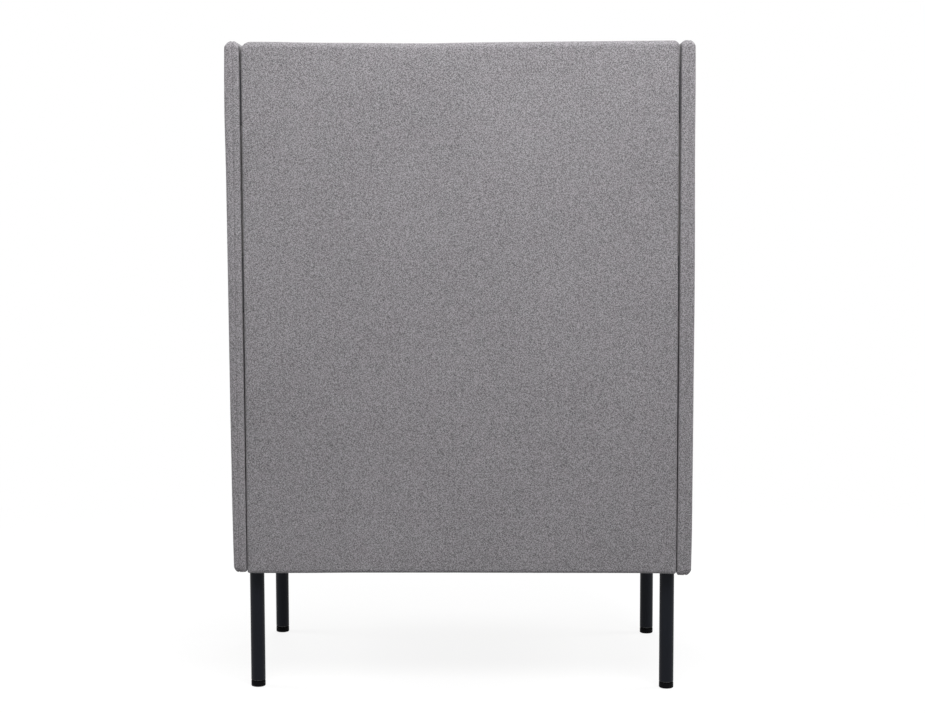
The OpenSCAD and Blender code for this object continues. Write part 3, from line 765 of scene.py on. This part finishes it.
def turned_shell(points, faces, centre, rings):
    """Adds a closed shell of rings, each (height, radii round it), about an upright axis"""
    first, count = len(points), len(rings[0][1])
    angles = np.arange(count) * 2 * math.pi / count
    for height, radii in rings:
        xs, ys = centre[0] + radii * np.cos(angles), centre[1] + radii * np.sin(angles)
        points.extend((x, y, height) for x, y in zip(xs, ys))
    faces.extend(ring_faces(first, len(rings), count))


# Of a foot screw: its captive head's height, its bevels, and the points round its three parts
HEAD_HEIGHT, BEVEL = 0.0036, 0.0003
NECK_POINTS, HEXAGON_POINTS, THREAD_POINTS = 48, 72, 36
# At each distance from the hexagon's faces, how far its corners may stand out of its flats
HEXAGON_CHAMFER = ((0, 0.0002), (0.0002, 0.0009), (0.0004, math.inf))
# Of its thread: rings to a turn, depth as a share of the pitch, slack, and the flanks' steepness
# with what it is lowered by to leave a flat root
THREAD_RINGS, THREAD_DEPTH, THREAD_SLACK = 8, 0.61, 0.00005
FLANK, FLAT_ROOT = 1.35, 0.2


def foot_screw_shape(centre, low, high):
    """The captive head, neck, chamfered hexagon and rolled thread of a levelling foot"""
    look = bpy.context.scene.pod_foot
    points, faces = [], []
    hexagon_low = look.hexagon_top - look.hexagon_height
    head_r, neck_r = look.head / 2, look.neck / 2
    profile = [
        (low, head_r - BEVEL),
        (low + BEVEL, head_r),
        (low + HEAD_HEIGHT - BEVEL, head_r),
        (low + HEAD_HEIGHT, head_r - BEVEL),
        (low + HEAD_HEIGHT, neck_r),
        (hexagon_low + BEVEL, neck_r),
    ]
    rings = [(height, np.full(NECK_POINTS, radius)) for height, radius in profile]
    turned_shell(points, faces, centre, rings)

    angles = np.arange(HEXAGON_POINTS) * 360 / HEXAGON_POINTS
    flat_r = size_of("rear_left_foot_stud").x / 2 * math.cos(math.radians(30))
    flats = flat_r / np.cos(np.radians(angles % 60 - 30))
    chamfer = [(step, np.minimum(flats, flat_r + more)) for step, more in HEXAGON_CHAMFER]
    rings = [(hexagon_low + step, radii) for step, radii in chamfer]
    rings += [(look.hexagon_top - step, radii) for step, radii in reversed(chamfer)]
    turned_shell(points, faces, centre, rings)

    turn = np.arange(THREAD_POINTS) / THREAD_POINTS
    outer, root = look.thread / 2 - THREAD_SLACK, look.thread / 2 - THREAD_DEPTH * look.pitch
    start = look.hexagon_top - BEVEL
    rings = []
    for height in np.arange(start, high + 1e-6, look.pitch / THREAD_RINGS):
        climb = (height / look.pitch - turn) % 1
        crest = np.clip(np.abs(2 * climb - 1) * FLANK - FLAT_ROOT, 0, 1)
        lead = np.clip((height - start) / look.pitch, 0, 1)
        radii = root + (outer - root) * crest * lead
        rings.append((height, np.minimum(radii, root + (high - height))))
    turned_shell(points, faces, centre, rings)
    return points, faces


# Of a weld bead: rings to a ripple, points round it, the least share of its radius and what a
# ripple adds to that, and over how many rings its ends taper, down to which share
BEAD_RINGS, BEAD_POINTS = 3, 10
BEAD_LEAST, BEAD_RIPPLE = 0.88, 0.16
TAPER_RINGS, TAPER_SHARE = 3, 0.35


def bead_shape(points, faces, path, radius, step):
    """Adds a rippled weld bead along a path, closed at both ends"""
    path = [Vector(point) for point in path]
    line = [path[0]]
    for start, end in zip(path, path[1:]):
        count = max(1, int(math.ceil((end - start).length / (step / BEAD_RINGS))))
        line += [start.lerp(end, (i + 1) / count) for i in range(count)]
    first, last, travelled = len(points), len(line) - 1, 0
    ring_up = (line[1] - line[0]).orthogonal()
    for i, point in enumerate(line):
        ahead = (line[min(i + 1, last)] - line[max(i - 1, 0)]).normalized()
        ring_up = (ring_up - ahead * ring_up.dot(ahead)).normalized()
        ring_side = ahead.cross(ring_up)
        if i:
            travelled += (point - line[i - 1]).length
        wave = abs(math.sin(math.pi * travelled / step))
        inward = min(i, last - i) / TAPER_RINGS
        taper = min(1, TAPER_SHARE + (1 - TAPER_SHARE) * inward)
        size = radius * (BEAD_LEAST + BEAD_RIPPLE * wave) * taper
        for k in range(BEAD_POINTS):
            angle = 2 * math.pi * k / BEAD_POINTS
            spoke = ring_up * math.cos(angle) + ring_side * math.sin(angle)
            points.append(point + spoke * size)
    faces.extend(ring_faces(first, len(line), BEAD_POINTS))


def weld_paths():
    """The lines where rails, end plates and brackets are welded to the legs and to each other"""
    leg_r = size_of("rear_left_leg").x / 2
    rail_low, rail_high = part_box("left_side_rail")
    rail_angle = math.asin(size_of("left_side_rail").x / 2 / leg_r)
    # How far a rail's weld lies off the leg's middle, its steps to each side, and how far short of
    # an edge welds end
    arc_r, steps, short = leg_r + 0.0004, 6, 0.003
    paths = []
    for corner in CORNERS:
        leg = middle_of(f"{corner}_leg")
        inward = -1 if "rear" in corner else 1
        angles = [rail_angle * (i / steps - 1) for i in range(2 * steps + 1)]
        arc = [
            (leg.x + arc_r * math.sin(angle), leg.y + inward * arc_r * math.cos(angle))
            for angle in angles
        ]
        first, last = [(*spot, rail_high.z - short) for spot in (arc[0], arc[-1])]
        paths.append([first, *[(*spot, rail_low.z) for spot in arc], last])

    # How far a bracket's welds lie to each side and off the leg's middle, and half their length
    side, off, half = 0.0072, leg_r + 0.0006, 0.0132
    for corner in CORNERS:
        leg = middle_of(f"{corner}_leg")
        outward = -1 if "left" in corner else 1
        for row in bracket_rows():
            for end in (-1, 1):
                spots = [(leg.x + outward * off, leg.y + end * side)]
                if "rear" in corner:
                    spots.append((leg.x + end * side, leg.y + off))
                paths += [[(*spot, row - half), (*spot, row + half)] for spot in spots]

    plate_low, plate_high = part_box("rail_end_plates")
    for node in ("front_cross_rail", "rear_cross_rail"):
        low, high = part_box(node)
        for x in (low.x, high.x):
            for y in (low.y, high.y):
                paths.append([(x, y, plate_low.z + short), (x, y, plate_high.z - short)])
    return paths


def bracket_rows():
    """Heights of the two rows of brackets"""
    heights = np.array([v.co.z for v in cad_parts["leg_brackets"].data.vertices])
    middle = (heights.min() + heights.max()) / 2
    for row in (heights[heights < middle], heights[heights > middle]):
        yield round(float(row.min() + row.max()) / 2, 4)


# Operators


class POD_OT_panel_covers(bpy.types.Operator):
    """Covers the three panels with felt drawn over foam, seamed round the edges"""

    bl_idname = "pod.panel_covers"
    bl_label = "Felt covers"

    def execute(self, context):
        look = context.scene.pod_felt
        size = (BACK_SIZE.y, BACK_SIZE.x, BACK_SIZE.z)
        hems, side_hems = (look.hem, look.hem), (look.outer_hem, look.inner_hem)
        back = felt_finish("back_felt", 1, middle_of("back_panel_cover").y)
        side = felt_finish("side_felt", 0, middle_of("right_panel_cover").x)
        covers = [self.cover("back_panel", size, 1, hems, look.low_corner, (1, 0, 2), 1, back)]
        for name, seed, sign in (("left_panel", 1, -1), ("right_panel", 3, 1)):
            cover = (name, SIDE_SIZE, seed, side_hems, look.corner, (0, 1, 2), sign, side)
            covers.append(self.cover(*cover))
        settle(covers)
        return {"FINISHED"}

    def cover(self, name, size, seed, hems, low_corner, order, sign, finish):
        """One panel's felt, with the mask of its points that are held while the felt settles"""
        shape, quads = panel_shape(size, seed, FELT_EASE[name], hems, low_corner)
        points = shape[:, order] * (sign, 1, 1) + np.array(middle_of(f"{name}_cover"))
        piece = new_piece(f"{name}_felt", points, quads, finish, "pod")
        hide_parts(f"{name}_cover", f"{name}_foam")
        return piece, shape[:, 0] < HELD_OUT


class POD_OT_foot_screws(bpy.types.Operator):
    """Makes the four levelling screws with their hexagons and threads"""

    bl_idname = "pod.foot_screws"
    bl_label = "Foot screws"

    def execute(self, context):
        finish = metal_finish("zinc_screw", (0.15, 0.152, 0.158), 0.34, blotch=0.3)
        for corner in CORNERS:
            node = f"{corner}_foot_stud"
            low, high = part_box(node)
            points, faces = foot_screw_shape(middle_of(node), low.z, high.z)
            name, body = f"{corner}_foot_screw", f"{corner}_stud"
            piece = new_piece(name, points, faces, finish, body)
            piece.data.set_sharp_from_angle(angle=math.radians(40))
            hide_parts(node)
        return {"FINISHED"}


class POD_OT_steelwork(bpy.types.Operator):
    """Powder-coats the legs, rails, plates and brackets, and lays the weld beads on them"""

    bl_idname = "pod.steelwork"
    bl_label = "Steelwork"

    def execute(self, context):
        look = context.scene.pod_steel
        coat = powder_coat_finish()
        rails = ("left_side_rail", "right_side_rail", "front_cross_rail", "rear_cross_rail")
        dress(coat, *[f"{corner}_leg" for corner in CORNERS])
        dress(coat, "leg_brackets", "rail_end_plates", *rails)
        points, faces = [], []
        for path in weld_paths():
            bead_shape(points, faces, path, look.bead, look.bead_step)
        new_piece("weld_beads", points, faces, coat, "pod")
        return {"FINISHED"}


class POD_OT_foot_plastics(bpy.types.Operator):
    """Finishes the feet's plastic bases and the inserts in the legs"""

    bl_idname = "pod.foot_plastics"
    bl_label = "Foot bases and inserts"

    def execute(self, context):
        base = plastic_finish("base_nylon", (0.0042, 0.0042, 0.0048), 0.55, 0.04, scuffed=1.0)
        insert = plastic_finish("insert_nylon", (0.01, 0.01, 0.011), 0.5, gloss=0.25)
        dress(base, *[f"{corner}_foot_base" for corner in CORNERS])
        dress(insert, "leg_inserts")
        return {"FINISHED"}


class POD_OT_fasteners(bpy.types.Operator):
    """Finishes the bolts, nuts, screws, threaded inserts and panel connectors"""

    bl_idname = "pod.fasteners"
    bl_label = "Fasteners and connectors"

    def execute(self, context):
        looks = (
            ("zinc_plate", (0.56, 0.57, 0.59), 0.36, 0.35),
            ("black_oxide", (0.022, 0.022, 0.025), 0.38, 0.5, 0.45),
            ("turned_brass", (0.62, 0.44, 0.17), 0.3, 0.25),
            ("phosphated_plate", (0.034, 0.034, 0.038), 0.52, 0.5, 0.6),
        )
        zinc, black, brass, plate = [metal_finish(*look) for look in looks]
        dress(zinc, "connector_screws", "rail_nuts", "worktop_screws")
        dress(black, "panel_bolts", "rail_bolts")
        dress(brass, "panel_insert_nuts")
        dress(plate, "hook_plates", "keeper_plates")
        return {"FINISHED"}


class POD_OT_panel_insides(bpy.types.Operator):
    """Finishes the boards and the foam inside the panels"""

    bl_idname = "pod.panel_insides"
    bl_label = "Boards and foam"

    def execute(self, context):
        chips, foam = board_finish(), foam_finish()
        for panel in ("back", "left", "right"):
            dress(chips, f"{panel}_panel_core")
            dress(foam, f"{panel}_panel_foam")
        return {"FINISHED"}


class POD_OT_worktop(bpy.types.Operator):
    """Finishes the worktop's laminate and its edge band"""

    bl_idname = "pod.worktop"
    bl_label = "Worktop"

    def execute(self, context):
        dress(oak_finish("oak_top", (0.8, 11, 11)), "worktop_board")
        dress(oak_finish("oak_band", (1, 1, 14)), "worktop_edge_band")
        return {"FINISHED"}


class POD_OT_grommet(bpy.types.Operator):
    """Finishes the cable grommet's sleeve and cap"""

    bl_idname = "pod.grommet"
    bl_label = "Cable grommet"

    def execute(self, context):
        plastic = plastic_finish("grommet_moulding", (0.021, 0.021, 0.023), 0.48)
        dress(plastic, "grommet_sleeve", "grommet_cap")
        return {"FINISHED"}


# The photograph's camera, fitted to edges and corners measured in it: place, direction, roll in
# radians, and sideways shift as a share of the picture's width
CAMERA_AT = (-0.0471, 4.198, 1.0517)
CAMERA_AHEAD = (0.03455, -0.99528, -0.09075)
CAMERA_ROLL = -0.0048
CAMERA_SHIFT = 0.0486
# Radii of the floor's rings, the points round each, and where the shadow under the pod thins out
FLOOR_RINGS, FLOOR_POINTS = (0.4, 1, 2.5, 6, 14), 96
SHADOW_REACH = (0.9, 2.4)


class POD_OT_stage(bpy.types.Operator):
    """Sets up floor, lamps, room light and camera"""

    bl_idname = "pod.stage"
    bl_label = "Studio"

    def execute(self, context):
        scene = context.scene
        look = scene.pod_stage
        scene.view_settings.view_transform = "Standard"
        self.room(scene, look)
        self.floor(look)
        lamps = (
            ("key_lamp", (-0.36, 2.1, 2.93), (0, 0.32, 1.15), (2.6, 1.4), look.key_power),
            ("top_lamp", (0, 0.3, 3.2), (0, 0.1, 0.7), (2.4, 2), look.top_power),
            ("front_lamp", (0, -2.8, 2.3), (0, 0, 0.8), (2.4, 1.6), look.front_power),
            ("left_lamp", (-2.9, -0.35, 2.1), (-0.45, -0.05, 0.85), (1.2, 1.4), look.side_power),
            ("right_lamp", (2.9, -0.35, 2.1), (0.45, -0.05, 0.85), (1.2, 1.4), look.side_power),
        )
        for lamp in lamps:
            self.lamp(*lamp)
        self.camera(scene, look)
        return {"FINISHED"}

    def seen(self, tree):
        """1 for rays from the camera, from gloss and from glass, which see the background"""
        outputs = tree.add("ShaderNodeLightPath").socket.node.outputs
        kinds = ("Is Camera Ray", "Is Glossy Ray", "Is Transmission Ray")
        camera, gloss, glass = [Term(tree, outputs[kind]) for kind in kinds]
        return camera.most(gloss).most(glass)

    def room(self, scene, look):
        scene.world = bpy.data.worlds.new("room")
        tree = Finish(scene.world)
        even = (look.sky, look.sky, look.sky * 1.01)
        colour = tree.blend(self.seen(tree), even, (1, 1, 1))
        light = tree.add("ShaderNodeBackground", {}, {"Color": colour})
        tree.add("ShaderNodeOutputWorld", {}, {"Surface": light})

    def floor(self, look):
        tree, here = new_finish("pale_floor")
        away = tree.add("ShaderNodeVectorMath", {"operation": "LENGTH"}, {0: here}, 1)
        speckle = tree.noise(here, 400)
        colour = tree.blend(self.seen(tree), (0.36,) * 3, (0.97,) * 3)
        colour = tree.scaled(colour, 0.985 + 0.03 * speckle)
        lit = tree.add("ShaderNodeBsdfDiffuse", {}, {"Color": colour})
        white = tree.add("ShaderNodeEmission")
        shadow = look.shadow * (1 - away.rise(*SHADOW_REACH))
        bright = self.seen(tree) * (1 - shadow)
        both = tree.add("ShaderNodeMixShader", {}, {0: bright, 1: lit, 2: white})
        tree.add("ShaderNodeOutputMaterial", {}, {"Surface": both})
        points, faces = [], []
        rings = [(0, np.full(FLOOR_POINTS, radius)) for radius in FLOOR_RINGS]
        turned_shell(points, faces, (0, 0), rings)
        # The face of the outermost ring would lie in the floor again
        faces.pop()
        new_piece("studio_floor", points, faces, tree.owner, None)

    def lamp(self, name, place, target, size, power):
        data = bpy.data.lights.new(name, "AREA")
        data.shape = "RECTANGLE"
        data.size, data.size_y = size
        data.energy = power
        lamp = bpy.data.objects.new(name, data)
        lamp.location = place
        ahead = Vector(target) - lamp.location
        lamp.rotation_euler = ahead.to_track_quat("-Z", "Y").to_euler()
        bpy.context.scene.collection.objects.link(lamp)

    def camera(self, scene, look):
        """Behind the pod, a little below its top and looking slightly down"""
        data = bpy.data.cameras.new("photo_camera")
        data.lens = look.focal_length
        data.sensor_width = 36
        data.sensor_fit = "HORIZONTAL"
        data.shift_x = CAMERA_SHIFT
        camera = bpy.data.objects.new("photo_camera", data)
        ahead = Vector(CAMERA_AHEAD).normalized()
        right = ahead.cross(Vector((0, 0, 1))).normalized()
        above = right.cross(ahead)
        turn = Matrix((right, above, -ahead)).transposed() @ Matrix.Rotation(CAMERA_ROLL, 3, "Z")
        camera.matrix_world = Matrix.Translation(CAMERA_AT) @ turn.to_4x4()
        scene.collection.objects.link(camera)
        scene.camera = camera


class POD_PT_workshop(bpy.types.Panel):
    """The pod's operators and settings in the sidebar"""

    bl_idname = "POD_PT_workshop"
    bl_label = "Study pod"
    bl_space_type = "VIEW_3D"
    bl_region_type = "UI"
    bl_category = "Study pod"

    def draw(self, context):
        for settings in SETTINGS:
            group = getattr(context.scene, settings)
            box = self.layout.box()
            for name in group.bl_rna.properties.keys():
                if name not in ("name", "rna_type"):
                    box.prop(group, name)
        for operator in OPERATORS:
            self.layout.operator(operator.bl_idname)


SETTINGS = {
    "pod_felt": PodFeltSettings,
    "pod_steel": PodSteelSettings,
    "pod_foot": PodFootSettings,
    "pod_worktop": PodWorktopSettings,
    "pod_stage": PodStageSettings,
}
OPERATORS = (
    POD_OT_panel_covers,
    POD_OT_panel_insides,
    POD_OT_steelwork,
    POD_OT_foot_screws,
    POD_OT_foot_plastics,
    POD_OT_fasteners,
    POD_OT_worktop,
    POD_OT_grommet,
    POD_OT_stage,
)


def register():
    for name, group in SETTINGS.items():
        bpy.utils.register_class(group)
        setattr(bpy.types.Scene, name, PointerProperty(type=group))
    for kind in (*OPERATORS, POD_PT_workshop):
        bpy.utils.register_class(kind)


def unregister():
    for kind in (POD_PT_workshop, *reversed(OPERATORS)):
        bpy.utils.unregister_class(kind)
    for name, group in reversed(SETTINGS.items()):
        delattr(bpy.types.Scene, name)
        bpy.utils.unregister_class(group)


def main():
    register()
    bpy.ops.pod.panel_covers()
    bpy.ops.pod.panel_insides()
    bpy.ops.pod.steelwork()
    bpy.ops.pod.foot_screws()
    bpy.ops.pod.foot_plastics()
    bpy.ops.pod.fasteners()
    bpy.ops.pod.worktop()
    bpy.ops.pod.grommet()
    bpy.ops.pod.stage()


if __name__ == "__main__":
    main()
